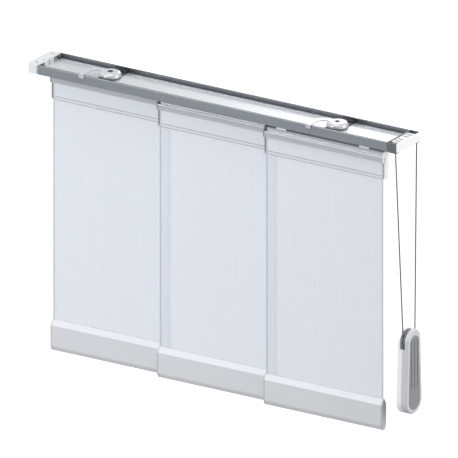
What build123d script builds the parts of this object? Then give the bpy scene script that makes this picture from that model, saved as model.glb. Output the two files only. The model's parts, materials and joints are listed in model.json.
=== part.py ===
# Panel-track blind: a four-channel ceiling rail, three sliding fabric panels with
# weighted bottom bars, two swivel ceiling clips, and an endless draw cord with a
# pulley weight.  Millimetres.  Origin: midway between the two ceiling screw holes,
# on the ceiling.  +X runs along the rail to the cord end, +Y away from the room, +Z up.
import os
from math import asin, atan2, cos, hypot, pi, sin

from build123d import *

os.makedirs("parts", exist_ok=True)

# ---- driving dimensions -------------------------------------------------------
# head rail
railLength = 600.0          # over both end caps
railDepth = 60.0
railHeight = 13.4
railTop = -2.0              # below the ceiling
wall = 1.2
capLength = 17.0            # each end cap, along the rail
channelPitch = 12.5
channelY = [-18.75, -6.25, 6.25, 18.75]
slotWidth = 3.6             # open slot under each channel
floorTop = railTop - 6.8    # recess floor
floorUnder = floorTop - wall
ledgeTop = railTop - 5.4    # roof of the two cord ducts
ledgeThick = 0.8
ledgeInner = 23.4
lipReach = 1.2              # inward lip that the clips catch
lipThick = 1.0

# draw cord and its wheels
cordD = 1.8
cordGap = 0.3
cordY = 26.5
cordX = 295.4               # where both strands leave the housing
cordZ = ledgeTop - ledgeThick - cordGap - cordD / 2
dropR = 3.0                 # cord line over the two wheels at the cord end
returnR = 6.5               # cord line round the two wheels at the far end
returnX = -290.5
wheelY = cordY - returnR    # the far wheels stand inside the two strands
exitZ = railTop - railHeight - 0.8
axleR = 1.0                 # cord wheels' pins
axleLength = 6.6
bridgeY = cordY - 3.9       # inner end of each pin

# ceiling clips
clipX = 184.0               # each side of the origin
clipDiscR = 15.0
clipDome = 4.6              # rounding of the disc's upper edge
clipGap = 0.3               # lever to ceiling, rail and base
leverThick = 1.4
leverWidth = 8.0
leverReach = 27.0           # arm's end, left of the disc's middle
leverBend = 12.0
tabHeight = 4.2             # how far the folded end comes down over the rail's face
clipHalf = 11.0             # half the base plate, along the rail
screwR = 2.25

# panels: left edge of each fabric, measured from the rail's left end
panelChannel = [2, 1, 0]    # the channel that each panel runs in, counted from the front
fabricWidth = 190.0
fabricLeft = [21.0, 201.75, 382.5]
fabricThick = 0.5
fabricPlane = -2.65         # middle of the cloth, from the channel's centre line
carrierOverhang = 1.0
carrierTop = railTop - 20.0
carrierFoot = railTop - 58.2
carrierHalf = 5.95
hookTop = railTop - 25.0
hookFoot = railTop - 33.4
plateFront = -1.9
plateThick = 1.0
endPlate = 2.0              # thickness of every small end plate
gliderInset = [23.0, 33.0]  # from the cloth's left and right edges

# bottom bars
barTop = railTop - 377.0
barShoulder = railTop - 384.7
barBend = railTop - 415.0
barFoot = railTop - 421.5
barHalf = 5.5
hemRodR = 1.8
hemRodZ = railTop - 382.0

# cord weight
weightX = 300.3
weightTop = railTop - 275.4
weightFoot = railTop - 397.4
weightThick = 17.6
weightTopR = 16.5
weightFootR = 20.0
pulleyR = 14.5              # cord line round the weight's wheel
pulleyZ = weightTop - weightTopR


# ---- helpers ------------------------------------------------------------------
def block(x0, x1, y0, y1, z0, z1):
    """A box between two corners, given in any order."""
    middle = ((x0 + x1) / 2, (y0 + y1) / 2, (z0 + z1) / 2)
    return Pos(*middle) * Box(abs(x1 - x0), abs(y1 - y0), abs(z1 - z0))


def rect(y0, y1, z0, z1):
    """A rectangle of a section drawn in Y and Z."""
    return Pos((y0 + y1) / 2, (z0 + z1) / 2) * Rectangle(abs(y1 - y0), abs(z1 - z0))


def along_x(section, x0, x1):
    """A Y-Z section run along X."""
    return extrude(Plane.YZ.offset(x0) * section, amount=x1 - x0)


def rounded(section, corners, radius):
    """A section with the named corners rounded."""
    near = [v for v in section.vertices()
            if any(hypot(v.X - y, v.Y - z) < 0.02 for y, z in corners)]
    return fillet(near, radius)


def rod(radius, length, at, direction):
    """A round rod that starts at a point and runs along a direction."""
    return extrude(Plane(at, z_dir=direction) * Circle(radius), amount=length)


def turned(outline, centre, axis):
    """A solid of revolution; the outline is (radius, along-axis) points."""
    sketch = make_face(Polyline(*outline, close=True))
    upright = revolve(Plane.XZ * sketch, Axis.Z)
    return Plane(centre, z_dir=axis) * upright


def grooved_wheel(lineR, flange, half, bore, centre, axis):
    """A wheel whose groove holds the cord at lineR; half is half its width."""
    root = lineR - cordD / 2 - cordGap
    seat = cordD / 2 + cordGap
    outline = [
        (bore, -half), (lineR - 0.4, -half), (flange, -seat - 0.4),
        (flange, -seat), (root, -seat + 0.4), (root, seat - 0.4),
        (flange, seat), (flange, seat + 0.4), (lineR - 0.4, half), (bore, half),
    ]
    return turned(outline, centre, axis)


def pear(shrink=0.0, lowered=0.0):
    """The cord weight's outline in Y and Z, smaller all round by shrink, its top lowered."""
    top, foot = weightTopR - shrink, weightFootR - shrink
    z1, z2 = weightTop - weightTopR - lowered, weightFoot + weightFootR
    lean = asin((foot - top) / (z1 - z2))
    t = (top * cos(lean), z1 + top * sin(lean))
    b = (foot * cos(lean), z2 + foot * sin(lean))
    edges = [
        ThreePointArc((-t[0], t[1]), (0, z1 + top), t),
        Line(t, b),
        ThreePointArc(b, (0, z2 - foot), (-b[0], b[1])),
        Line((-b[0], b[1]), (-t[0], t[1])),
    ]
    return make_face(edges)


def save(name, shape):
    """Write one named piece."""
    shape = shape.solid() if len(shape.solids()) == 1 else Compound(shape.solids())
    export_step(shape, f"parts/{name}.step")
    print(f"{name:28s} {shape.volume:12.1f} mm3")


# ---- head rail ----------------------------------------------------------------
halfDepth = railDepth / 2
railFoot = railTop - railHeight
railX = railLength / 2 - capLength


def rail_section():
    section = rect(-ledgeInner, ledgeInner, floorTop, floorUnder)
    for side in (-1, 1):
        outer, inner = side * halfDepth, side * (halfDepth - wall)
        section += rect(inner, outer, railTop, railFoot)
        section += rect(side * ledgeInner, inner, ledgeTop, ledgeTop - ledgeThick)
        section += rect(side * ledgeInner, side * (ledgeInner + ledgeThick), ledgeTop, floorUnder)
        section += rect(inner - side * lipReach, inner, railTop, railTop - lipThick)
    for y in (-channelPitch, 0, channelPitch):
        section += rect(y - wall / 2, y + wall / 2, floorUnder, railFoot)
    section += rect(-halfDepth, halfDepth, railFoot, railFoot + wall)
    for y in channelY:
        section -= rect(y - slotWidth / 2, y + slotWidth / 2, railFoot - 1, railFoot + wall)
    return rounded(section, [(s * halfDepth, z) for s in (-1, 1) for z in (railTop, railFoot)], 0.6)


def make_head_rail():
    save("head_rail", along_x(rail_section(), -railX, railX))


# ---- left end cap with its two return wheels ------------------------------------
def make_end_cap_left():
    x0, x1 = -railLength / 2, -railX
    shell = block(x0, x1, -halfDepth, halfDepth, railTop, railFoot)
    shell = fillet(shell.edges().filter_by(Axis.Z).group_by(Axis.X)[0], 5.0)
    shell = fillet(shell.edges().filter_by(Plane.XY).group_by(Axis.Z)[-1], 0.5)
    room = block(x0 + 1.4, x1, -halfDepth + 1.4, halfDepth - 1.4, railTop - 1.2, railFoot + 1.2)
    room = fillet(room.edges().filter_by(Axis.Z).group_by(Axis.X)[0], 3.6)
    cap = shell - room
    # shadow gap where the cap meets the rail
    neck = block(x1 - 2, x1 + 1, -halfDepth + 0.9, halfDepth - 0.9, railTop - 0.7, railFoot + 0.7)
    cap -= block(x1 - 1.6, x1, -halfDepth - 1, halfDepth + 1, railTop + 1, railFoot - 1) - neck
    # notch in the top, and two tongues that plug into the middle channels
    cap -= block(x1 - 6.5, x1, -9.0, -4.0, railTop + 1, railTop - 2)
    for side in (-1, 1):
        cap += block(x1 - 6, x1, side * 1.0, side * 11.5, railTop - 1.0, railFoot + 0.6)
        cap += block(x1, x1 + 8, side * 1.0, side * 11.5, floorUnder - 0.2, railFoot + wall + 0.2)
        # thick seats for the axles
        cap += rod(3.4, 2.6, (returnX, side * wheelY, railTop - 1.0), (0, 0, -1))
        cap += rod(3.4, 2.6, (returnX, side * wheelY, railFoot + 1.0), (0, 0, 1))
    for side in (-1, 1):
        cap -= rod(1.5, railHeight - 0.8, (returnX, side * wheelY, railTop), (0, 0, -1))
        cap -= rod(2.6, 0.8, (returnX, side * wheelY, railTop), (0, 0, -1))
    save("end_cap_left", cap)


def make_return_wheels():
    axles = []
    for name, y in (("front", -wheelY), ("back", wheelY)):
        wheel = grooved_wheel(returnR, 7.1, 1.7, 1.55, (returnX, y, cordZ), (0, 0, 1))
        save(f"return_wheel_{name}", wheel)
        pin = rod(1.5, railHeight - 0.8, (returnX, y, railTop), (0, 0, -1))
        pin += rod(2.6, 0.8, (returnX, y, railTop), (0, 0, -1))
        axles.append(pin)
    save("return_wheel_axles", Compound(axles))


# ---- pulley housing, end cover and cord wheels at the cord end -------------------
dropX = cordX - dropR
dropZ = cordZ - dropR
coverThick = 1.0
housingWall = 1.0


def make_pulley_housing():
    x0, x1 = railX, railLength / 2 - coverThick
    body = block(x0, x1, -halfDepth, halfDepth, railTop, railFoot)
    room = block(x0 + 1.4, x1 - housingWall, -halfDepth + 1.4, halfDepth - 1.4, railTop + 1, railFoot + 1.2)
    body -= room
    # the cord comes in through the inner wall and drops through the floor
    for side in (-1, 1):
        y0, y1 = side * (halfDepth - 1.4), side * (bridgeY + 1.2)
        body += block(x0 + 1.4, x1 - housingWall, side * bridgeY, y1, railTop - 3.0, railFoot + 1.2)
        body += block(dropX - 5.2, x1, side * bridgeY, side * halfDepth, railFoot, exitZ)
        body -= block(dropX - 4.0, x1 - housingWall, y0, y1, railFoot + 2, exitZ)
        body -= block(x0, x0 + 1.4, y0, y1, cordZ - 2.2, cordZ + 2.2)
        body -= rod(axleR, axleLength, (dropX, side * bridgeY, dropZ), (0, side, 0))
    # tongues that plug into the middle channels, and a cross rib
    for side in (-1, 1):
        body += block(x0 - 8, x0, side * 1.0, side * 11.5, floorUnder - 0.2, railFoot + wall + 0.2)
    body += block(x0 + 1.4, x1 - housingWall, -0.8, 0.8, railTop - 3.0, railFoot + 1.2)
    save("pulley_housing", body)


def make_housing_insert():
    """A pale ribbed filler that drops into the housing, either side of its cross rib."""
    x0, x1 = railX + 1.8, railLength / 2 - coverThick - housingWall - 0.4
    top, foot = railTop - 1.0, railFoot + 1.5
    insert = block(x0, x1, -20.5, 20.5, top, foot)
    insert -= block(x0 - 1, x1 + 1, -1.1, 1.1, top - 1.6, foot - 1)
    for side in (-1, 1):
        for near, far in ((3.0, 9.5), (11.0, 18.5)):
            pocket = block(x0 + 1.6, x1 - 1.6, side * near, side * far, top + 1, foot + 2.0)
            insert -= fillet(pocket.edges().filter_by(Axis.Z), 1.5)
    save("housing_insert", insert)


def make_cord_wheels():
    axles = []
    for name, side in (("front", -1), ("back", 1)):
        wheel = grooved_wheel(dropR, dropR + 0.5, 1.7, axleR + 0.05, (dropX, side * cordY, dropZ), (0, 1, 0))
        save(f"cord_wheel_{name}", wheel)
        axles.append(rod(axleR, axleLength, (dropX, side * bridgeY, dropZ), (0, side, 0)))
    save("cord_wheel_axles", Compound(axles))


def make_end_cover_right():
    x1 = railLength / 2
    cover = block(x1 - coverThick, x1, -halfDepth, halfDepth, railTop + 0.3, railFoot + 0.5)
    cover = fillet(cover.edges().filter_by(Axis.X), 1.6)
    cover = fillet(cover.faces().sort_by(Axis.X)[-1].edges(), 0.5)
    save("end_cover_right", cover)


# ---- ceiling clips --------------------------------------------------------------
baseTop = floorTop + 1.8
baseThick = 1.4
discFoot = baseTop + clipGap
bossR = 4.0


def make_clip(name, x):
    # base: a pressed plate across the recess, its ends hooked under the rail's lips
    low, high = baseTop - baseThick, ledgeTop + 0.3
    section = rect(-23.1, 23.1, low, baseTop)
    for side in (-1, 1):
        section += rect(side * 21.7, side * 23.1, low, high + baseThick)
        section += rect(side * 21.7, side * 28.3, high, high + baseThick)
        section += rect(side * 27.0, side * 28.3, high, railTop - lipThick - clipGap)
    base = along_x(section, x - clipHalf, x + clipHalf)
    base += rod(bossR, -baseTop, (x, 0, baseTop), (0, 0, 1))
    base -= rod(screwR, 20, (x, 0, 1), (0, 0, -1))
    base -= turned([(0, 0), (4.0, 0), (screwR, 1.75), (0, 1.75)], (x, 0, low), (0, 0, 1))
    save(f"clip_base_{name}", base)

    # lever: a domed disc with a curved arm whose end folds down over the rail's face
    disc = turned([(0, discFoot), (clipDiscR, discFoot), (clipDiscR, -clipGap), (0, -clipGap)],
                  (x, 0, 0), (0, 0, 1))
    disc = fillet(disc.faces().sort_by(Axis.Z)[-1].edges(), clipDome)
    inside, outside = -halfDepth - clipGap, -halfDepth - 1.9
    half = leverWidth / 2
    middle = Line((0, 0), (leverBend - leverReach, 0))
    middle += RadiusArc((leverBend - leverReach, 0), (-leverReach, -leverBend), -leverBend)
    middle += Line((-leverReach, -leverBend), (-leverReach, outside))
    lug = Polyline((-leverReach - half, -20), (-leverReach - half - 4.5, -25.5),
                   (-leverReach - half, -28), close=True)
    flat = trace(middle, leverWidth) + make_face(lug)
    arm = extrude(Plane((x, 0, -clipGap - leverThick)) * flat, amount=leverThick)
    left = x - leverReach - half
    tab = block(left, left + leverWidth, inside, outside, -clipGap - leverThick, railTop - tabHeight)
    tab = fillet(tab.edges().filter_by(Axis.Y).group_by(Axis.Z)[0], 1.6)
    lever = disc + arm + tab
    lever -= rod(bossR + 0.05, 20, (x, 0, 1), (0, 0, -1))
    save(f"clip_lever_{name}", lever)


# ---- panels -----------------------------------------------------------------------
def carrier_section(yc):
    front = yc + plateFront
    back = yc + carrierHalf - 0.25
    section = rect(front, front + plateThick, carrierTop, carrierFoot)
    section += rect(back - plateThick, back, carrierTop, carrierFoot)
    section += rect(front, back, carrierFoot + wall, carrierFoot)
    section += rect(yc + 1.3, back, carrierTop, carrierTop - wall)
    section += rect(yc - carrierHalf, front, hookTop, hookTop - 1.1)
    section += rect(yc - carrierHalf, yc - carrierHalf + 1.1, hookTop, hookFoot)
    section += rect(front - 0.4, front, carrierFoot + 3.2, carrierFoot)
    # shadow line just above the band's lower edge
    section -= rect(yc - carrierHalf, yc - carrierHalf + 0.55, hookFoot + 0.5, hookFoot + 1.3)
    section = rounded(section, [(yc - carrierHalf, hookTop)], 1.0)
    return rounded(section, [(back, carrierTop), (back, carrierFoot)], 0.8)


def carrier_cap_section(yc):
    front, back = yc + plateFront - 0.4, yc + carrierHalf
    outer, inner = yc - carrierHalf, yc - carrierHalf + 1.1
    top = carrierTop + 2.0
    points = [
        (back, carrierFoot), (back, top), (front - 0.9, top), (outer, top - 4.5), (outer, hookFoot),
        (inner, hookFoot), (inner, hookTop - 1.1), (front, hookTop - 1.1), (front, carrierFoot),
    ]
    section = make_face(Polyline(*points, close=True))
    section = rounded(section, [(back, top)], 3.0)
    return rounded(section, [(front - 0.9, top), (outer, top - 4.5)], 1.6)


def bar_section(yb):
    points = [
        (yb - 1.0, barTop), (yb + 1.0, barTop), (yb + barHalf, barShoulder), (yb + barHalf, barBend),
        (yb + 2.4, barFoot), (yb - 2.4, barFoot), (yb - barHalf, barBend), (yb - barHalf, barShoulder),
    ]
    section = make_face(Polyline(*points, close=True))
    section = rounded(section, [points[2], points[7]], 1.5)
    section = rounded(section, [points[3], points[6]], 5.0)
    return rounded(section, [points[4], points[5]], 2.0)


def make_glider(name, x, yc):
    top, foot = floorUnder - 0.4, railFoot + wall + 0.4
    body = block(x - 13, x + 13, yc - 5.2, yc + 5.2, top, foot)
    body = fillet(body.edges().filter_by(Axis.Z), 2.5)
    neck = block(x - 8, x + 8, yc - 0.6, yc + 1.1, foot, carrierTop - wall)
    collar = block(x - 8, x + 8, yc - 0.6, yc + 3.0, carrierTop, carrierTop + 4.0)
    heel = block(x - 8, x + 8, yc - 0.7, yc + 3.4, carrierTop - wall, carrierTop - wall - 2.6)
    save(name, body + neck + collar + heel)


def make_panel(number):
    yc = channelY[panelChannel[number - 1]]
    x0 = fabricLeft[number - 1] - railLength / 2
    x1 = x0 + fabricWidth
    tag = f"panel_{number}"

    # carrier profile, its two end plates and its two gliders
    c0, c1 = x0 - carrierOverhang, x1 + carrierOverhang
    save(f"{tag}_carrier", along_x(carrier_section(yc), c0, c1))
    cap = carrier_cap_section(yc)
    save(f"{tag}_carrier_cap_left", along_x(cap, c0 - endPlate, c0))
    save(f"{tag}_carrier_cap_right", along_x(cap, c1, c1 + endPlate))
    make_glider(f"{tag}_glider_left", x0 + gliderInset[0], yc)
    make_glider(f"{tag}_glider_right", x1 - gliderInset[1], yc)

    # hook tape on the carrier, and the cloth that hangs from it
    clothFront = yc + fabricPlane - fabricThick / 2
    clothBack = clothFront + fabricThick
    tape = block(x0, x1, clothBack, yc + plateFront, hookTop - 2.4, carrierFoot + 4.2)
    save(f"{tag}_hook_tape", tape)
    cloth = block(x0, x1, clothFront, clothBack, hookTop - 2.4, hemRodZ)
    save(f"{tag}_fabric", cloth)

    # bottom bar: a hollow profile that the hem and its rod slide into
    yb = yc + fabricPlane
    b0, b1 = x0 - 1, x1 + 1
    outline = bar_section(yb)
    bar = along_x(outline - offset(outline, amount=-wall), b0 + endPlate, b1 - endPlate)
    bar -= block(b0, b1, yb - 0.55, yb + 0.55, barTop + 1, barTop - 5)
    save(f"{tag}_bottom_bar", bar)
    hem = rod(hemRodR, fabricWidth - 6, (x0 + 3, yb, hemRodZ), (1, 0, 0)) - cloth
    save(f"{tag}_hem_rod", hem)
    for side, start, inward in (("left", b0, 1), ("right", b1 - endPlate, -1)):
        end = along_x(outline, start, start + endPlate)
        inner = start + endPlate if inward > 0 else start
        end += block(inner, inner + inward * 5, yb - 3.4, yb + 3.4, barShoulder - 4, barBend + 1)
        end -= block(b0, b1, yb - 0.55, yb + 0.55, barTop + 1, hemRodZ - 0.3)
        save(f"{tag}_bar_cap_{side}", end)


def make_cord_clamp():
    """A jaw on panel 3's right-hand glider that holds the front strand."""
    yc = channelY[0]
    x = fabricLeft[2] + fabricWidth - railLength / 2 - gliderInset[1]
    seat = cordD / 2 + cordGap
    jaw = block(x - 6, x + 6, -cordY - seat - 0.7, -cordY + seat + 0.7, cordZ + 0.7, cordZ - seat - 0.9)
    jaw -= block(x - 7, x + 7, -cordY - seat, -cordY + seat, cordZ + 1, cordZ - seat)
    jaw += block(x - 6, x + 6, -cordY + seat, yc - 5.2, cordZ - seat - 0.1, cordZ - seat - 1.9)
    save("cord_clamp", jaw)


# ---- draw cord --------------------------------------------------------------------
def tube(path, radius):
    start = path @ 0
    return sweep(Plane(start, z_dir=path % 0) * Circle(radius), path=path)


def make_cord_in_rail():
    """One strand along the front duct, round the far wheels and back along the other duct."""
    far = returnX - returnR
    route = [
        (cordX, -cordY, exitZ), (cordX, -cordY, cordZ), (far, -cordY, cordZ),
        (far, cordY, cordZ), (cordX, cordY, cordZ), (cordX, cordY, exitZ),
    ]
    radii = [dropR, returnR, returnR, dropR]
    path = FilletPolyline(*route, radius=radii)
    cord = tube(path, cordD / 2)
    report_cord("draw_cord_in_rail", cord, path, radii)
    save("draw_cord_in_rail", cord)


def make_hanging_cord():
    """Both strands from the housing down to the weight's wheel, pulled straight.  They lean
    a degree along the rail, since the weight hangs a little beyond the housing."""
    reach = hypot(cordY, exitZ - pulleyZ)
    lean = atan2(cordY, exitZ - pulleyZ) - asin(pulleyR / reach)
    ty, tz = pulleyR * cos(lean), pulleyZ - pulleyR * sin(lean)
    front, back = (cordX, -cordY, exitZ), (cordX, cordY, exitZ)
    path = Wire([
        Line(front, (weightX, -ty, tz)),
        ThreePointArc((weightX, -ty, tz), (weightX, 0, pulleyZ - pulleyR), (weightX, ty, tz)),
        Line((weightX, ty, tz), back),
    ])
    cord = tube(path, cordD / 2)
    report_cord("draw_cord_hanging", cord, path, [pulleyR])
    save("draw_cord_hanging", cord)


def report_cord(name, cord, path, radii):
    ratio = cord.volume / (pi * (cordD / 2) ** 2 * path.length)
    print(f"{name}: length {path.length:.1f} mm, radii {radii}, volume / (section x length) {ratio:.4f}")


# ---- cord weight ------------------------------------------------------------------
weightScrewZ = -366.0
weightScrewR = 1.6
weightAxleR = 2.0
slotHalf = 4.05
slotDepth = 26.6
flangeR = 15.7
inlayInset = 5.6
inlayLowered = 3.4
inlayDeep = 1.0
gripPitch = 7.8
gripLength = 70.0
gripWidth = 1.8
parting = 0.35              # depth and half width of the groove where the shells meet


def make_weight():
    half = weightThick / 2
    wheelRoom = rod(flangeR + 0.4, 2 * slotHalf, (weightX - slotHalf, 0, pulleyZ), (1, 0, 0))
    slot = block(weightX - slotHalf, weightX + slotHalf, -25, 25, weightTop + 1, weightTop - slotDepth)
    slugHalf = half - 1.7
    slugTop = pulleyZ - flangeR - 4.3
    belt = rect(-30, 30, slugTop, weightFoot)
    slugRoom = along_x(pear(2.0) & belt, weightX - slugHalf, weightX + slugHalf)
    axle = rod(weightAxleR, weightThick - 3.6, (weightX - half + 1.8, 0, pulleyZ), (1, 0, 0))
    screw = rod(weightScrewR, weightThick - 3.2, (weightX - half + 1.6, 0, weightScrewZ), (1, 0, 0))
    seam = along_x(pear(-1) - pear(parting), weightX - parting, weightX + parting)

    for name, side in (("left", -1), ("right", 1)):
        face = weightX + side * half
        shell = along_x(pear(), min(weightX, face), max(weightX, face))
        rim = shell.faces().sort_by(Axis.X)[0 if side < 0 else -1].edges()
        shell = fillet(rim, 2.4)
        seat = face - side * inlayDeep
        inlay = along_x(pear(inlayInset, inlayLowered), min(face, seat), max(face, seat))
        shell = shell - inlay - slot - wheelRoom - slugRoom - axle - screw - seam
        save(f"weight_shell_{name}", shell)
        for step in (-1, 0, 1):
            groove = SlotOverall(gripLength, gripWidth, rotation=90)
            groove = Pos(step * gripPitch, weightTop - 50) * groove
            inlay -= along_x(groove, face - 0.7, face + 0.7)
        save(f"grip_inlay_{name}", inlay)

    wheel = grooved_wheel(pulleyR, flangeR, 3.2, weightAxleR + 0.05, (weightX, 0, pulleyZ), (1, 0, 0))
    save("weight_wheel", wheel)
    save("weight_axle", axle)
    slug = pear(2.2) & rect(-30, 30, slugTop - 0.2, weightFoot)
    slug = along_x(slug, weightX - slugHalf + 0.2, weightX + slugHalf - 0.2)
    save("weight_ballast", slug - rod(weightScrewR, 40, (weightX - 20, 0, weightScrewZ), (1, 0, 0)))
    save("weight_screw", screw)


make_head_rail()
make_end_cap_left()
make_return_wheels()
make_pulley_housing()
make_housing_insert()
make_cord_wheels()
make_end_cover_right()
make_clip("left", -clipX)
make_clip("right", clipX)
for number in (1, 2, 3):
    make_panel(number)
make_cord_clamp()
make_cord_in_rail()
make_hanging_cord()
make_weight()
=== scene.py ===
import json
import math

import bpy
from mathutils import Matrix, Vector


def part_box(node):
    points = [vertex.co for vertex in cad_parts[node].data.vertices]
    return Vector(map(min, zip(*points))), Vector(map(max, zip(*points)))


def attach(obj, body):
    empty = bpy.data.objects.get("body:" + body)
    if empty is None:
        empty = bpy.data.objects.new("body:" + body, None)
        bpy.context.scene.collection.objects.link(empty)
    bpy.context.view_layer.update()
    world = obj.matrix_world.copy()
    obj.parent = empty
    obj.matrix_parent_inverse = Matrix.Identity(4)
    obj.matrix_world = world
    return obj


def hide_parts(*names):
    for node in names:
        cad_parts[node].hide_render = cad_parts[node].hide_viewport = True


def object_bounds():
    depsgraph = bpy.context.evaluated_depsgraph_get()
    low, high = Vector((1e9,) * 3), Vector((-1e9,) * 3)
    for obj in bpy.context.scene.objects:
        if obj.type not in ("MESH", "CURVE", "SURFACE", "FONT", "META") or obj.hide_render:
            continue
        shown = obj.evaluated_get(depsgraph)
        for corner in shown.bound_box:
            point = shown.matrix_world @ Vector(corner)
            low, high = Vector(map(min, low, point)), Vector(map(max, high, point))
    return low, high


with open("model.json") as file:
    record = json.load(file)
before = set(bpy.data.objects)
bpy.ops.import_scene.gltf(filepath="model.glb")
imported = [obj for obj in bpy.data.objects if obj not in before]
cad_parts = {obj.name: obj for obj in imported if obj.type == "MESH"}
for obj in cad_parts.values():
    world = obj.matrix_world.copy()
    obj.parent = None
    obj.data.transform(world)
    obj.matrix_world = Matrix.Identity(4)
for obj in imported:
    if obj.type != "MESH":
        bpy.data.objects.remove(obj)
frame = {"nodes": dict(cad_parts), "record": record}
cadLow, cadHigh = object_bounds()
nodes = frame["nodes"]


def addObject(name, data):
    added = bpy.data.objects.new(name, data)
    bpy.context.collection.objects.link(added)
    return added


# node trees: one method makes every node, and values read as maths

class Value:
    def __init__(self, graph, socket):
        self.graph = graph
        self.socket = socket

    def maths(self, operation, *others, clamp=False):
        inputs = dict(enumerate((self, *others)))
        settings = {"operation": operation, "use_clamp": clamp}
        return self.graph.node("ShaderNodeMath", settings, inputs)

    def __add__(self, other):
        return self.maths("ADD", other)

    def __mul__(self, other):
        return self.maths("MULTIPLY", other)

    def __sub__(self, other):
        return self.maths("SUBTRACT", other)

    def __rsub__(self, other):
        return (self * -1.0) + other

    def __truediv__(self, other):
        return self.maths("DIVIDE", other)

    __radd__ = __add__
    __rmul__ = __mul__

    def sine(self):
        return self.maths("SINE")

    def absolute(self):
        return self.maths("ABSOLUTE")

    def larger(self, other):
        return self.maths("MAXIMUM", other)

    # another output of the same node
    def sibling(self, index):
        return Value(self.graph, self.socket.node.outputs[index])


class Graph:
    def __init__(self, tree):
        self.tree = tree

    def node(self, kind, settings=None, inputs=None, output=0):
        made = self.tree.nodes.new(kind)
        for key, setting in (settings or {}).items():
            if key == "stops":
                ramp = made.color_ramp.elements
                while len(ramp) < len(setting):
                    ramp.new(1.0)
                for element, (position, shade) in zip(ramp, setting):
                    element.position = position
                    element.color = (*shade, 1.0)
            else:
                setattr(made, key, setting)
        for key, value in (inputs or {}).items():
            if isinstance(value, Value):
                self.tree.links.new(value.socket, made.inputs[key])
            else:
                made.inputs[key].default_value = value
        return Value(self, made.outputs[output])


def rgba(shade):
    return (*shade, 1.0)


# every finish starts from plain Principled numbers, and adds what changes over the surface
class Finish(Graph):
    def __init__(self, name, shade, roughness, constants=None):
        self.material = bpy.data.materials.new(name)
        self.material.use_nodes = True
        super().__init__(self.material.node_tree)
        self.tree.nodes.clear()
        self.shader = self.tree.nodes.new("ShaderNodeBsdfPrincipled")
        output = self.tree.nodes.new("ShaderNodeOutputMaterial")
        self.tree.links.new(self.shader.outputs[0], output.inputs[0])
        self.set("Base Color", rgba(shade))
        self.set("Roughness", roughness)
        for key, value in (constants or {}).items():
            self.set(key, value)

    def set(self, key, value):
        if isinstance(value, Value):
            self.tree.links.new(value.socket, self.shader.inputs[key])
        else:
            self.shader.inputs[key].default_value = value

    # object coordinates, stretched before a pattern reads them
    def stretched(self, scale=(1, 1, 1)):
        coords = self.node("ShaderNodeTexCoord", output="Object")
        return self.node("ShaderNodeMapping", {}, {"Vector": coords, "Scale": scale})

    def noise(self, scale, stretch=(1, 1, 1), detail=3.0, roughness=0.55):
        inputs = {"Vector": self.stretched(stretch), "Scale": scale,
                  "Detail": detail, "Roughness": roughness}
        return self.node("ShaderNodeTexNoise", {"normalize": True}, inputs)

    def cells(self, scale):
        inputs = {"Vector": self.stretched(), "Scale": scale}
        return self.node("ShaderNodeTexVoronoi", {"feature": "F1"}, inputs)

    # 0 below one distance and 1 above another
    def ramp(self, value, start, end):
        inputs = {"Value": value, "From Min": start, "From Max": end}
        return self.node("ShaderNodeMapRange", {}, inputs)

    # 1 on a line of the given half width, 0 away from it
    def line(self, value, middle, width):
        return 1 - self.ramp((value - middle).absolute(), width * 0.5, width)

    # noise drawn out into threads on a UV map
    def threads(self, uv, stretch, scale):
        drawn = self.node("ShaderNodeMapping", {}, {"Vector": uv, "Scale": stretch})
        return self.node("ShaderNodeTexNoise", {}, {"Vector": drawn, "Scale": scale, "Detail": 2.0})

    # a shade, or a colour already made, that turns into another shade as the factor rises
    def between(self, factor, low, high):
        inputs = {0: factor, 6: low if isinstance(low, Value) else rgba(low), 7: rgba(high)}
        return self.node("ShaderNodeMix", {"data_type": "RGBA"}, inputs, 2)

    def ranged(self, value, low, high):
        return self.node("ShaderNodeMapRange", {}, {"Value": value, "To Min": low, "To Max": high})

    def bump(self, height, strength, distance):
        inputs = {"Height": height, "Strength": strength, "Distance": distance}
        self.set("Normal", self.node("ShaderNodeBump", {}, inputs))


def shaded(shade, factor):
    return tuple(min(1.0, c * factor) for c in shade)


# drawn aluminium: fine die lines along the rail, faint cloudiness in the anodising
def drawnMetal(name, shade, roughness, metallic, lines, paintedLitFloor=None):
    finish = Finish(name, shade, roughness, {"Metallic": metallic})
    streaks = finish.noise(420.0, (0.012, 1.0, 1.0), 2.0)      # drawn out along X
    clouds = finish.noise(14.0, (1, 1, 1), 3.0)
    tone = streaks * 0.55 + clouds * 0.45
    colour = finish.between(tone, shaded(shade, 0.90), shaded(shade, 1.09))
    # painted light: the recess floor gets a pale lit tone, and the ledges and walls beside it a
    # painted shade at 0.42 of the rail's shade
    if paintedLitFloor:
        floor, sides = paintedRecessLight(finish)
        colour = finish.between(floor, colour, paintedLitFloor)
        colour = finish.between(sides, colour, shaded(shade, 0.42))
    finish.set("Base Color", colour)
    finish.set("Roughness", finish.ranged(tone, roughness - 0.06, roughness + 0.08))
    finish.bump(streaks, lines, 0.0003)
    return finish.material


# metres in from the rail's top or side at which each painted-light mask starts and ends
recess = {"roof": (0.0074, 0.0070), "wall": (0.0068, 0.0064), "lip": (0.0006, 0.0003)}


# masks for painted light on the floor of the rail's recess, pale as if lit from above, and for
# painted shade on the ledges and walls beside it
def paintedRecessLight(finish):
    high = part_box("head_rail")[1]
    coords = finish.node("ShaderNodeTexCoord", output="Object")
    split = finish.node("ShaderNodeSeparateXYZ", {}, {0: coords})
    out, z = split.sibling(1).absolute(), split.sibling(2)
    above = finish.ramp(z, *(high.z - inset for inset in recess["roof"]))
    beside = finish.ramp(out, *(high.y - inset for inset in recess["wall"]))
    outer = finish.ramp(out, *(high.y - inset for inset in recess["lip"]))
    return (1 - beside) * above, beside * (1 - outer) * above


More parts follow.
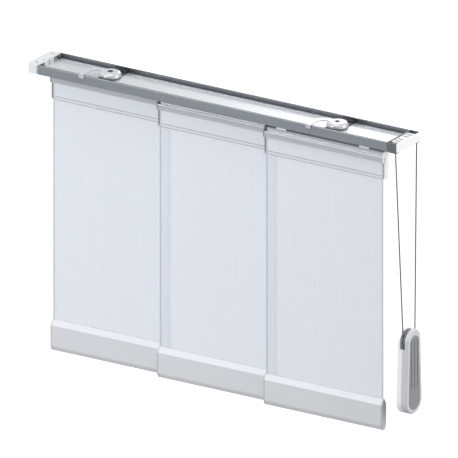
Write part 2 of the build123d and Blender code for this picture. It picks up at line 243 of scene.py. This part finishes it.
# powder coat: an even satin skin with a very fine orange peel
def powderCoat(name, shade, roughness):
    finish = Finish(name, shade, roughness, {"Coat Roughness": 0.3})
    peel = finish.noise(1400.0, (1, 1, 1), 2.0)
    clouds = finish.noise(22.0, (0.4, 1, 1), 3.0)
    finish.set("Base Color", finish.between(clouds, shaded(shade, 0.965), shaded(shade, 1.03)))
    finish.set("Roughness", finish.ranged(peel, roughness - 0.05, roughness + 0.07))
    finish.bump(peel, 0.12, 0.0002)
    return finish.material


# moulded plastic: a faint spark-eroded grain, and tone that drifts a little
def mouldedPlastic(name, shade, roughness, grain=0.16, constants=None):
    finish = Finish(name, shade, roughness, constants)
    fine = finish.noise(2600.0, (1, 1, 1), 2.0)
    drift = finish.noise(60.0, (1, 1, 1), 2.0)
    finish.set("Base Color", finish.between(drift, shaded(shade, 0.955), shaded(shade, 1.03)))
    finish.set("Roughness", finish.ranged(fine, roughness - 0.06, roughness + 0.08))
    finish.bump(fine, grain, 0.00015)
    return finish.material


def zincSteel(name, shade):
    finish = Finish(name, shade, 0.36, {"Metallic": 0.95})
    spangle = finish.cells(900.0)
    clouds = finish.noise(90.0)
    tone = spangle * 0.5 + clouds * 0.5
    finish.set("Base Color", finish.between(tone, shaded(shade, 0.82), shaded(shade, 1.12)))
    finish.set("Roughness", finish.ranged(clouds, 0.28, 0.46))
    return finish.material


cloth = {
    "shade": (0.79, 0.82, 0.88),
    "threadPitch": 0.00062,      # metres from thread to thread
    "cover": 0.69,               # how much of each face the threads close
    "edgeWidth": 0.0011, "edgeFade": 0.0034, "edgeTone": 0.70,      # heat-cut sides
    "headerTone": 0.97, "headerCover": 0.95, "ribPitch": 0.0019,  # doubled top over the tape
    # a pressed seam's width, and the painted shade that darkens each seam line
    "seamWidth": 0.0009, "seamShadeTone": 0.62, "headerFade": 0.0003,
}


# plain weave on the cloth's own UV map, in metres from its middle: threads, open corners, uneven
# slubs, dark heat-cut sides, and a ribbed double top that ends in two pressed seams drawn with
# painted shade lines
def wovenCloth(name, parts):
    finish = Finish(name, parts["shade"], 0.86, {
        "Sheen Weight": 0.2, "Sheen Roughness": 0.45, "Specular IOR Level": 0.25})
    low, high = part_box("panel_1_fabric")
    half = (high - low) / 2
    seams = [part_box(f"panel_1_{part}")[0].z - (low.z + half.z) for part in ("hook_tape", "carrier")]
    uv = finish.node("ShaderNodeTexCoord", output="UV")
    across = finish.node("ShaderNodeSeparateXYZ", {}, {0: uv})
    down = across.sibling(1)
    turn = 2 * math.pi / parts["threadPitch"]
    warp, weft = (across * turn).sine(), (down * turn).sine()
    over = (across * (turn / 2)).sine() * (down * (turn / 2)).sine()
    weave = warp * 0.35 + weft * 0.35 + over * 0.3
    slubs = finish.threads(uv, (1.0, 0.018, 1.0), 900.0)
    picks = finish.threads(uv, (0.03, 1.0, 1.0), 700.0)
    tone = slubs * 0.6 + picks * 0.4
    side = half.x - across.absolute()
    edge = 1 - finish.ramp(side, parts["edgeWidth"], parts["edgeFade"])
    fade = parts["headerFade"]
    header = finish.ramp(down, seams[1] - fade, seams[1] + fade)
    ribs = (across * (2 * math.pi / parts["ribPitch"])).sine() * header
    # lines at the tape's foot and at the carrier's foot: dented by the bump, and darkened in colour
    # as painted shade
    tapeFoot, carrierFoot = (finish.line(down, seam, parts["seamWidth"]) for seam in seams)
    pressedSeamShade = tapeFoot + carrierFoot
    shade = finish.between(tone, shaded(parts["shade"], 0.965), shaded(parts["shade"], 1.03))
    doubled = header * (0.75 + ribs * 0.25)
    shade = finish.between(doubled, shade, shaded(parts["shade"], parts["headerTone"]))
    shade = finish.between(pressedSeamShade, shade, shaded(parts["shade"], parts["seamShadeTone"]))
    shade = finish.between(edge, shade, shaded(parts["shade"], parts["edgeTone"]))
    finish.set("Base Color", shade)
    closed = edge.larger(header * parts["headerCover"])
    woven = (tone - 0.5) * 0.16 + weave * 0.04 + parts["cover"]
    finish.set("Alpha", woven.larger(closed))
    finish.bump(weave + slubs * 0.5 + ribs * 1.6 - pressedSeamShade * 3.0, 0.35, 0.00012)
    return finish.material


# braided cord: two families of strands that cross round the cord, on the curve's own UV map
def braided(name, shade, turns, strands):
    finish = Finish(name, shade, 0.78, {"Sheen Weight": 0.15})
    uv = finish.node("ShaderNodeTexCoord", output="UV")
    flat = finish.node("ShaderNodeSeparateXYZ", {}, {0: uv})
    along = flat * (turns * 2 * math.pi)
    around = flat.sibling(1) * (strands * 2 * math.pi)
    crossing = (along + around).sine() * (along - around).sine()
    fibres = finish.noise(3000.0, (1, 1, 0.2), 2.0)
    tone = crossing * 0.3 + fibres * 0.7
    finish.set("Base Color", finish.between(tone, shaded(shade, 0.70), shaded(shade, 1.25)))
    finish.bump(crossing + fibres * 0.3, 0.6, 0.0002)
    return finish.material


def loopedTape(name, shade):
    finish = Finish(name, shade, 0.92, {"Sheen Weight": 0.3})
    loops = finish.cells(1500.0)
    finish.set("Base Color", finish.between(loops, shaded(shade, 1.05), shaded(shade, 0.75)))
    finish.bump(loops, 0.7, 0.0004)
    return finish.material


finishes = {
    # the rail's recess floor is painted pale as if lit from above, and its inner ledges are painted
    # in shade
    "rail_aluminium": drawnMetal("railAnodisedPaintedLight", (0.30, 0.325, 0.355), 0.36, 0.65, 0.10,
                                 paintedLitFloor=(0.74, 0.75, 0.78)),
    "carrier_aluminium": drawnMetal("carrierAnodised", (0.57, 0.58, 0.62), 0.32, 0.45, 0.05),
    "bar_aluminium": powderCoat("barSatinWhite", (0.66, 0.675, 0.71), 0.34),
    "clear_plastic": mouldedPlastic("capMilkyPlastic", (0.72, 0.73, 0.755), 0.26, 0.08,
                                    {"Coat Weight": 0.3}),
    "white_plastic": mouldedPlastic("whitePlastic", (0.89, 0.89, 0.90), 0.36),
    "bar_end_plastic": mouldedPlastic("barEndPlastic", (0.50, 0.51, 0.53), 0.42),
    "carrier_end_plastic": mouldedPlastic("carrierEndPlastic", (0.26, 0.265, 0.275), 0.38),
    "shell_plastic": mouldedPlastic("shellGreyPlastic", (0.60, 0.60, 0.63), 0.34),
    "lever_plastic": mouldedPlastic("leverPlastic", (0.62, 0.63, 0.67), 0.20, 0.08,
                                    {"Metallic": 0.25}),
    "wheel_plastic": mouldedPlastic("wheelPlastic", (0.30, 0.315, 0.33), 0.40, 0.2),
    "clip_plate": zincSteel("blackenedPlate", (0.13, 0.13, 0.14)),
    "dark_plastic": mouldedPlastic("housingPlastic", (0.13, 0.135, 0.145), 0.45, 0.3),
    "grip": mouldedPlastic("gripRubber", (0.25, 0.265, 0.28), 0.60, 0.5),
    "steel": zincSteel("zincSteel", (0.60, 0.61, 0.63)),
    "ballast": drawnMetal("castBallast", (0.16, 0.16, 0.17), 0.7, 0.6, 0.5),
    "hook_tape": loopedTape("loopTape", (0.78, 0.78, 0.80)),
    "cloth": wovenCloth("wovenCloth", cloth),
    "thread": loopedTape("sewingThread", (0.60, 0.61, 0.64)),
    "cord": braided("braidedCord", (0.12, 0.124, 0.13), 270, 4),
}

for part in frame["record"]["subparts"]:
    piece = nodes[part["node"]]
    piece.data.materials.clear()
    piece.data.materials.append(finishes[part["material_slot"]])
print("finishes:", len(finishes))


view = {
    "azimuth": 32.85, "elevation": 20.0,   # degrees
    "width": 0.624,                        # metres across the picture
    "right": 0.00695, "up": -0.17925,       # from the middle of the rail's top
    "away": 3.0,
}


def makeCamera(v):
    a, e = math.radians(v["azimuth"]), math.radians(v["elevation"])
    back = Vector((math.sin(a) * math.cos(e), -math.cos(a) * math.cos(e), math.sin(e)))
    right = Vector((math.cos(a), math.sin(a), 0.0))
    up = back.cross(right)
    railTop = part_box("head_rail")[1].z
    target = Vector((0, 0, railTop)) + right * v["right"] + up * v["up"]
    data = bpy.data.cameras.new("camera")
    data.type = "ORTHO"
    data.ortho_scale = v["width"]
    camera = addObject("camera", data)
    camera.location = target + back * v["away"]
    camera.rotation_euler = (-back).to_track_quat("-Z", "Y").to_euler()
    bpy.context.scene.camera = camera


makeCamera(view)

studio = {
    "floorDrop": 1.30, "floorSize": 80.0, "floorShade": 0.90, "floorGlow": 0.30,
    "skyAbove": 0.66, "skyBelow": 0.38, "horizonBlur": 0.25,
    # daylight straight down, as wide as a lit ceiling
    "ceilingPower": 0.9, "ceilingAngle": 40.0, "ceilingTilt": (4.0, -6.0),
    # softboxes: place, size and watts; each aims at the middle of the object
    "softboxes": {
        "keyBox": ((-0.95, -1.85, 0.45), 1.2, 25.0),
        "endBox": ((2.20, 0.60, 0.35), 1.4, 28.0),
        "backBox": ((-0.50, 1.80, 0.75), 1.0, 7.5),
    },
}


def makeStudio(s):
    z = cadLow.z - s["floorDrop"]
    half = s["floorSize"] / 2
    mesh = bpy.data.meshes.new("studioFloor")
    corners = [(-half, -half, z), (half, -half, z), (half, half, z), (-half, half, z)]
    mesh.from_pydata(corners, [], [(0, 1, 2, 3)])
    floor = addObject("studioFloor", mesh)
    pale = Finish("paleFloor", (s["floorShade"],) * 3, 0.9, {
        "Specular IOR Level": 0.1, "Emission Color": (1, 1, 1, 1),
        "Emission Strength": s["floorGlow"]})
    mesh.materials.append(pale.material)
    floor.visible_diffuse = False      # seen, but it throws no light back up
    floor.visible_glossy = False

    world = bpy.data.worlds.new("studioSky")
    bpy.context.scene.world = world
    world.use_nodes = True
    # pale above the horizon and darker below it, as in a room with a lit ceiling
    air = Graph(world.node_tree)
    facing = air.node("ShaderNodeTexCoord", output="Generated")
    height = air.node("ShaderNodeSeparateXYZ", {}, {0: facing}).sibling(2)
    rise = air.node("ShaderNodeMapRange", {}, {
        "Value": height, "From Min": -s["horizonBlur"], "From Max": s["horizonBlur"],
        "To Min": s["skyBelow"], "To Max": s["skyAbove"]})
    background = world.node_tree.nodes["Background"]
    world.node_tree.links.new(rise.socket, background.inputs["Strength"])
    background.inputs["Color"].default_value = (1.0, 1.0, 1.0, 1.0)

    ceiling = bpy.data.lights.new("ceilingLight", "SUN")
    ceiling.energy = s["ceilingPower"]
    ceiling.angle = math.radians(s["ceilingAngle"])
    tiltX, tiltY = (math.radians(angle) for angle in s["ceilingTilt"])
    addObject("ceilingLight", ceiling).rotation_euler = (tiltX, tiltY, 0.0)

    middle = (cadLow + cadHigh) / 2
    for name, (where, size, watts) in s["softboxes"].items():
        data = bpy.data.lights.new(name, "AREA")
        data.shape = "DISK"
        data.size = size
        data.energy = watts
        lamp = addObject(name, data)
        lamp.location = where
        lamp.rotation_euler = (middle - Vector(where)).to_track_quat("-Z", "Y").to_euler()

    bpy.context.scene.view_settings.view_transform = "Standard"


makeStudio(studio)
print("camera and studio ready")


# both strands of the draw cord, from the housing and round the weight's wheel
drawCord = {
    "diameter": 0.0018,
    "length": 0.6016,
    # metres; down to the wheel, three corners round it, and back up
    "route": [
        (0.2954, -0.0265, -0.0162), (0.30016, -0.01484, -0.28645), (0.3003, -0.01413, -0.30262),
        (0.3003, 0.0, -0.3105),
        (0.3003, 0.01413, -0.30262), (0.30016, 0.01484, -0.28645), (0.2954, 0.0265, -0.0162),
    ],
}


def makeDrawCord(c):
    curve = bpy.data.curves.new("draw_cord_strands", "CURVE")
    curve.dimensions = "3D"
    spline = curve.splines.new("NURBS")
    spline.points.add(len(c["route"]) - 1)
    for point, corner in zip(spline.points, c["route"]):
        point.co = (*corner, 1.0)
    spline.order_u = 3
    spline.use_endpoint_u = True
    spline.resolution_u = 32
    curve.bevel_depth = c["diameter"] / 2
    curve.bevel_resolution = 5
    curve.use_fill_caps = True
    curve.materials.append(finishes["cord"])
    strands = addObject("draw_cord_strands", curve)
    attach(strands, "root")
    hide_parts("draw_cord_hanging")


makeDrawCord(drawCord)
print("draw cord hung")


# a flat-hung woven sheet for each panel
hang = {
    "columns": 56, "rows": 104,
    "thickness": 0.0004,
    "bow": 0.00035,          # how far the cloth drifts out of flat, half-way down
    "wavesAcross": 26.0, "wavesDown": 3.0,      # to the metre
    "seed": 7,
}


# a cloth's tree: a UV-mapped grid stood upright, whose middle drifts in slow vertical waves
def clothTree(h):
    tree = bpy.data.node_groups.new("hungCloth", "GeometryNodeTree")
    face = tree.interface
    for name in ("Width", "Length", "Bow"):
        face.new_socket(name, in_out="INPUT", socket_type="NodeSocketFloat")
    face.new_socket("Seed", in_out="INPUT", socket_type="NodeSocketInt")
    face.new_socket("Geometry", in_out="OUTPUT", socket_type="NodeSocketGeometry")
    g = Graph(tree)
    source = tree.nodes.new("NodeGroupInput")
    width, length, bow, seed = (Value(g, source.outputs[i]) for i in range(4))
    grid = g.node("GeometryNodeMeshGrid", {}, {
        "Size X": width, "Size Y": length, "Vertices X": h["columns"], "Vertices Y": h["rows"]})
    position = g.node("GeometryNodeInputPosition")
    x = g.node("ShaderNodeSeparateXYZ", {}, {0: position})
    y = x.sibling(1)
    flatUv = g.node("ShaderNodeCombineXYZ", {}, {0: x, 1: y})
    mapped = g.node("GeometryNodeStoreNamedAttribute", {"data_type": "FLOAT2", "domain": "CORNER"},
                    {"Geometry": grid, "Name": "UVMap", "Value": flatUv})
    # no drift at the tape and at the hem, most in between
    down = y / length + 0.5
    free = down * (1 - down) * 4.0
    waves = g.node("ShaderNodeCombineXYZ", {}, {0: x * h["wavesAcross"], 1: y * h["wavesDown"]})
    drift = g.node("ShaderNodeTexNoise", {"noise_dimensions": "4D"}, {
        "Vector": waves, "W": seed * 3.7, "Scale": 1.0, "Detail": 1.0})
    out = (drift - 0.5) * 2.0 * bow * free
    stood = g.node("ShaderNodeCombineXYZ", {}, {0: x, 1: out, 2: y})
    moved = g.node("GeometryNodeSetPosition", {}, {"Geometry": mapped, "Position": stood})
    real = g.node("GeometryNodeRealizeInstances", {}, {"Geometry": moved})
    dressed = g.node("GeometryNodeSetMaterial", {}, {
        "Geometry": real, "Material": finishes["cloth"]})
    sink = tree.nodes.new("NodeGroupOutput")
    tree.links.new(dressed.socket, sink.inputs[0])
    return tree


stitching = {
    "pitch": 0.0030, "stitch": 0.0022, "thread": 0.00018, "rise": 0.00022,
    "sunk": 0.00004,         # how deep each thread lies in the cloth
    "spare": 0.006,          # cloth left unsewn, both sides together
    "tilt": 0.05, "shortest": 0.93, "longest": 1.05,
    "seed": 11,
}


# two rows of stitches: one arched thread, repeated along each row and turned a little at random
def stitchTree(name, s):
    tree = bpy.data.node_groups.new(name, "GeometryNodeTree")
    face = tree.interface
    for label in ("Width", "Pitch", "Stitch", "Thread", "Rise", "Gap"):
        face.new_socket(label, in_out="INPUT", socket_type="NodeSocketFloat")
    face.new_socket("Seed", in_out="INPUT", socket_type="NodeSocketInt")
    face.new_socket("Geometry", in_out="OUTPUT", socket_type="NodeSocketGeometry")
    g = Graph(tree)
    source = tree.nodes.new("NodeGroupInput")
    width, pitch, stitch, thread, rise, gap, seed = (Value(g, source.outputs[i]) for i in range(7))

    def vector(x=0.0, y=0.0, z=0.0):
        return g.node("ShaderNodeCombineXYZ", {}, {0: x, 1: y, 2: z})

    arch = g.node("GeometryNodeCurveQuadraticBezier", {}, {
        "Resolution": 5, "Start": vector(stitch * -0.5),
        "Middle": vector(0.0, rise * -2.0), "End": vector(stitch * 0.5)})
    ring = g.node("GeometryNodeCurvePrimitiveCircle", {}, {"Resolution": 6, "Radius": thread})
    single = g.node("GeometryNodeCurveToMesh", {}, {
        "Curve": arch, "Profile Curve": ring, "Fill Caps": True})
    count = (width / pitch).maths("FLOOR")
    joined = tree.nodes.new("GeometryNodeJoinGeometry")
    for row in (0, 1):
        first = vector(count * pitch * -0.5 + pitch * 0.5, 0.0, gap * -row)
        line = g.node("GeometryNodeMeshLine", {}, {
            "Count": count, "Start Location": first, "Offset": vector(pitch)})
        tilt = g.node("FunctionNodeRandomValue", {"data_type": "FLOAT"}, {
            "Min": -s["tilt"], "Max": s["tilt"], "Seed": seed + row}, 1)
        size = g.node("FunctionNodeRandomValue", {"data_type": "FLOAT"}, {
            "Min": s["shortest"], "Max": s["longest"], "Seed": seed + row + 5}, 1)
        sewn = g.node("GeometryNodeInstanceOnPoints", {}, {
            "Points": line, "Instance": single,
            "Rotation": vector(0.0, tilt), "Scale": vector(size, 1.0, 1.0)})
        tree.links.new(sewn.socket, joined.inputs[0])
    real = g.node("GeometryNodeRealizeInstances", {}, {"Geometry": Value(g, joined.outputs[0])})
    dressed = g.node("GeometryNodeSetMaterial", {}, {
        "Geometry": real, "Material": finishes["thread"]})
    sink = tree.nodes.new("NodeGroupOutput")
    tree.links.new(dressed.socket, sink.inputs[0])
    return tree


# runs a tree on an empty mesh and returns the result as a plain object at the origin
def grow(name, tree, settings, shift=Vector((0, 0, 0))):
    holder = addObject(name + "_holder", bpy.data.meshes.new(name + "_holder"))
    modifier = holder.modifiers.new("grow", "NODES")
    modifier.node_group = tree
    for item in tree.interface.items_tree:
        if item.in_out == "INPUT" and item.name in settings:
            modifier[item.identifier] = settings[item.name]
    graph = bpy.context.evaluated_depsgraph_get()
    mesh = bpy.data.meshes.new_from_object(holder.evaluated_get(graph), depsgraph=graph)
    bpy.data.objects.remove(holder)
    mesh.name = name
    for vertex in mesh.vertices:
        vertex.co += shift
    return addObject(name, mesh)


def makeCloths(h):
    tree, seamTree = clothTree(h), stitchTree("seamStitches", stitching)
    for number in (1, 2, 3):
        low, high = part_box(f"panel_{number}_fabric")
        size = high - low
        settings = {"Width": size.x, "Length": size.z, "Bow": h["bow"], "Seed": h["seed"] + number}
        sheet = grow(f"panel_{number}_cloth", tree, settings, (low + high) / 2)
        solid = sheet.modifiers.new("thickness", "SOLIDIFY")
        solid.thickness = h["thickness"]
        solid.offset = 0.0
        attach(sheet, f"panel_{number}")
        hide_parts(f"panel_{number}_fabric")
        seams = [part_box(f"panel_{number}_{part}")[0].z for part in ("hook_tape", "carrier")]
        front = (low.y + high.y) / 2 - h["thickness"] / 2 - stitching["thread"] + stitching["sunk"]
        sewn = {"Width": size.x - stitching["spare"], "Pitch": stitching["pitch"],
                "Stitch": stitching["stitch"], "Thread": stitching["thread"],
                "Rise": stitching["rise"], "Gap": seams[0] - seams[1],
                "Seed": stitching["seed"] + number}
        topRow = Vector(((low.x + high.x) / 2, front, seams[0]))
        rows = grow(f"panel_{number}_stitching", seamTree, sewn, topRow)
        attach(rows, f"panel_{number}")


makeCloths(hang)
print("cloths hung")
